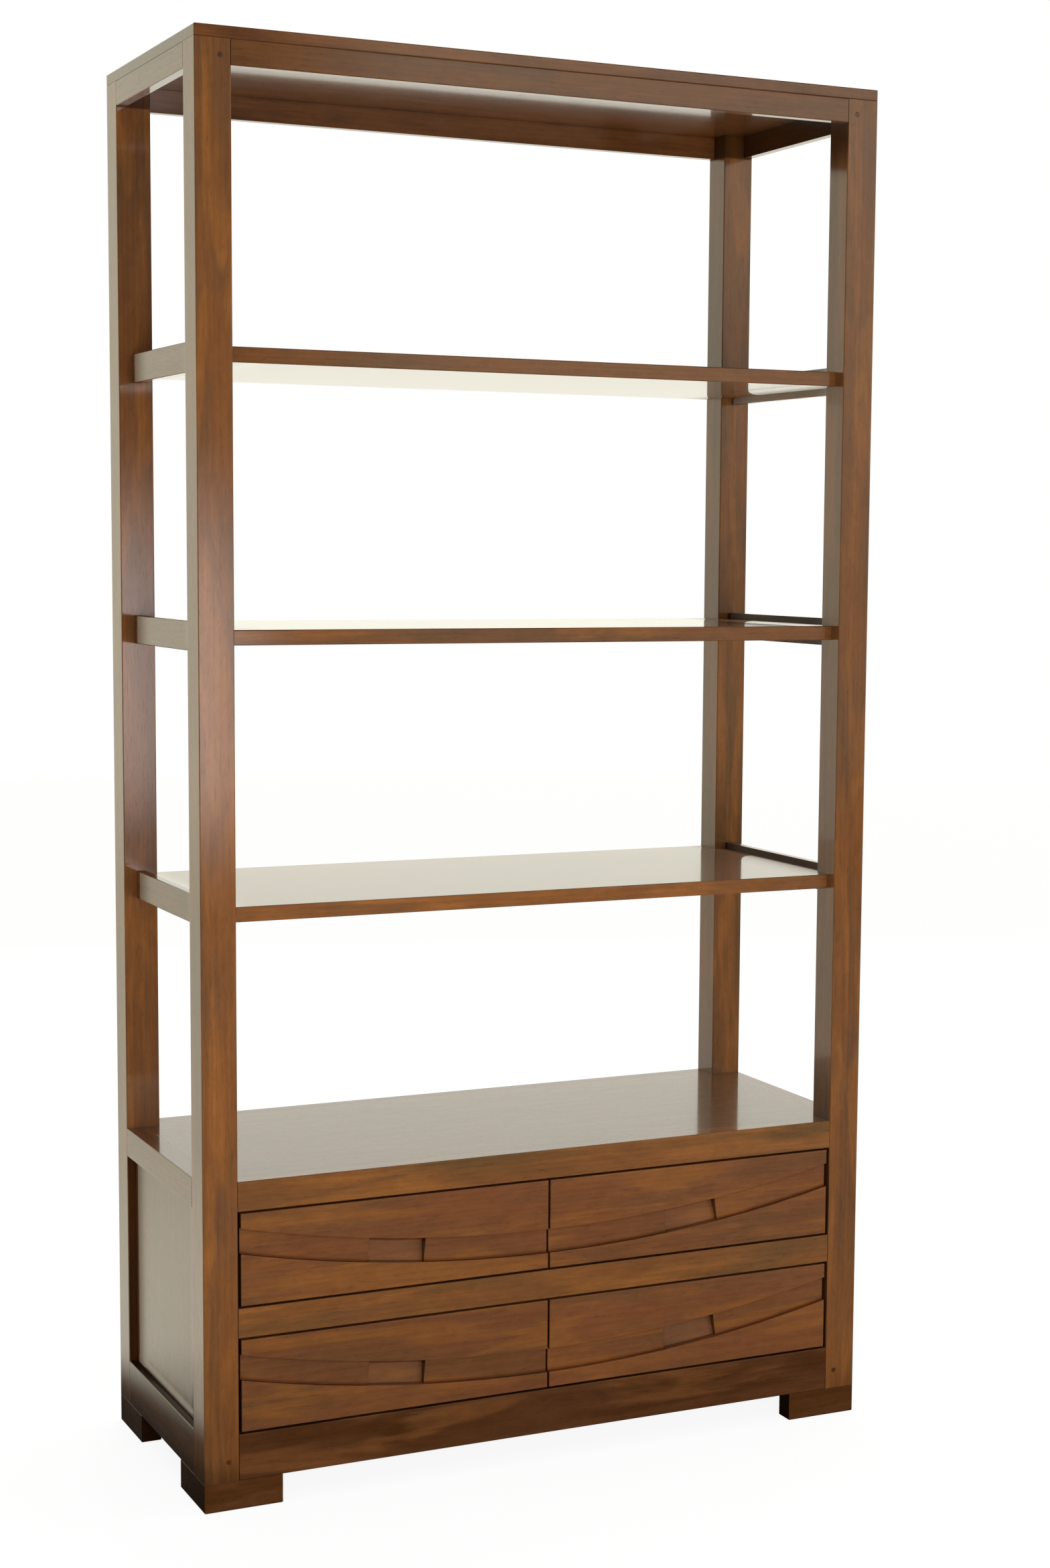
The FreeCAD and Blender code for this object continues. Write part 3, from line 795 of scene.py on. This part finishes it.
def studio_floor():
    """A flat disc at the floor: radius times (cos, sin) of the angle.

    In the lacquer the paper carries painted shade: a painted shadow darkens it towards the case, and
    it is also dimmer in front of the case and some way behind it: smooth steps of the distance from
    the case's footprint, times smooth steps of the place from front to back. Near the case it also
    throws less light back, a painted shade in its colour.
    """
    radius = np.linspace(0.0, FLOOR_RADIUS, FLOOR_RINGS)[:, None]
    angle = np.linspace(0.0, 2 * math.pi, FLOOR_SPOKES)[None, :]
    _, t = studio_piece("floor", radius * np.cos(angle), radius * np.sin(angle), FLOOR_HIGH)
    x, y, _ = object_place(t)
    out_x = t.larger(t.minus(t.unsigned(x), float(cad_high[X])), 0.0)
    out_y = t.larger(t.minus(t.unsigned(y), float(cad_high[Y])), 0.0)
    apart = t.math("SQRT", t.plus(t.power(out_x, 2.0), t.power(out_y, 2.0)))
    beside = t.plus(out_x, t.times(t.minus(y, BESIDE_START), BESIDE_SLANT))
    # brightness of the paper in the lacquer, darkened by a painted shadow near the case
    bright = t.plus(t.between(beside, *BESIDE_CASE), t.between(apart, *ROUND_CASE))
    for step in (BEFORE_CASE, BEHIND_CASE, FAR_BEHIND):
        bright = t.times(bright, t.between(y, *step))
    path = rays(t)
    to_camera = path["Is Camera Ray"]
    matt = t.add("ShaderNodeBsdfDiffuse")
    # less light thrown back near the case: painted shade in the floor's colour
    pale = t.larger(t.between(apart, *PAINTED_SHADE_NEAR_CASE), t.times(to_camera, FLOOR_PALE))
    t.put(matt.inputs["Color"], t.grey(pale))
    seen = blend(t, t.times(to_camera, FLOOR_LIT), matt.outputs[0], glow(t, FLOOR_GLOW))
    t.finish(blend(t, path["Is Glossy Ray"], seen, glow(t, bright, paper(t, *FLOOR_TINT))))


def studio_wall():
    """A half round wall behind the case: a constant radius over angles and heights.

    The angles run from the right, round the back, to the left. The wall gives all its light on the
    right and little on the left, by a smooth step along X.
    """
    angle = np.linspace(*WALL_TURN, WALL_GRID[0])[:, None]
    height = np.linspace(*WALL_HEIGHTS, WALL_GRID[1])[None, :]
    _, t = studio_piece("backdrop", WALL_RADIUS * np.cos(angle), WALL_RADIUS * np.sin(angle), height)
    path = rays(t)
    mirrored = t.larger(path["Is Glossy Ray"], path["Is Transmission Ray"])
    ambient = t.between(object_place(t)[X], *WALL_AMBIENT)
    lit = glow(t, t.larger(t.times(mirrored, WALL_MIRRORED), ambient), paper(t, *WALL_TINT))
    t.finish(blend(t, path["Is Camera Ray"], lit, glow(t, 1.0)))


def studio_screen():
    """A tall upright sheet in front, seen only in the lacquer.

    Low on its left a soft box: one bell curve of x times one of z. To its right a pale field that
    starts dim near the floor and grows with height.
    """
    across = np.linspace(*SCREEN_X, SCREEN_GRID[0])[:, None]
    height = np.linspace(*SCREEN_Z, SCREEN_GRID[1])[None, :]
    piece, t = studio_piece("front_screen", across, SCREEN_Y, height)
    piece.visible_camera = False
    piece.visible_diffuse = False
    piece.visible_shadow = False
    piece.visible_transmission = False
    x, _, z = object_place(t)
    box = t.times(t.between(x, *BOX_RIGHT), t.between(x, *BOX_LEFT))
    box = t.times(box, t.times(t.between(z, *BOX_FOOT), t.between(z, *BOX_TOP)))
    field = t.plus(t.between(z, *FIELD_LOW), t.between(z, *FIELD_RISE, smooth=False))
    field = t.times(field, t.times(t.between(x, *FIELD_LEFT), t.between(z, *FIELD_TOP)))
    field = t.times(field, t.between(x, *FIELD_RIGHT))
    lights = (glow(t, t.times(box, BOX_BRIGHT), BLUSH), glow(t, t.times(field, FIELD_BRIGHT), PAPER))
    t.finish(t.put_all(t.add("ShaderNodeAddShader"), lights))


def studio_world():
    """White for the camera, even light on the case, and nearly dark in the lacquer."""
    world = bpy.data.worlds.new("studio")
    bpy.context.scene.world = world
    world.use_nodes = True
    t = Tree(world.node_tree)
    path = rays(t)
    air = t.add("ShaderNodeBackground")
    mirrored = t.times(path["Is Glossy Ray"], AMBIENT - MIRRORED_AIR)
    t.put(air.inputs["Strength"], t.minus(AMBIENT, mirrored))
    white = t.add("ShaderNodeBackground")
    white.inputs["Color"].default_value = WHITE
    sky = blend(t, path["Is Camera Ray"], air.outputs[0], white.outputs[0])
    t.finish(sky, "ShaderNodeOutputWorld")


def softbox(name, centre, size, bright, target):
    """A rectangular lamp of the given brightness, turned to its target and unseen in the lacquer."""
    light = bpy.data.lights.new(name, "AREA")
    light.shape = "RECTANGLE"
    light.size, light.size_y = size
    light.energy = bright * math.pi * size[0] * size[1]
    lamp = bpy.data.objects.new(name, light)
    back = np.array(centre) - np.array(target)
    back /= np.linalg.norm(back)
    side = np.cross((0.0, 0.0, 1.0), back)
    side /= np.linalg.norm(side)
    lamp.matrix_world = standing(side, np.cross(back, side), back, centre)
    lamp.visible_glossy = False
    lamp.visible_camera = False
    bpy.context.scene.collection.objects.link(lamp)


def studio():
    studio_world()
    studio_floor()
    studio_wall()
    studio_screen()
    for name, (centre, size, bright, target) in LAMPS.items():
        softbox(name, centre, size, bright, target)


dress_posts()
dress_rails()
dress_boards()
dress_base()
dress_drawers()
studio()
place_camera()

bpy.context.scene.view_settings.view_transform = "Standard"
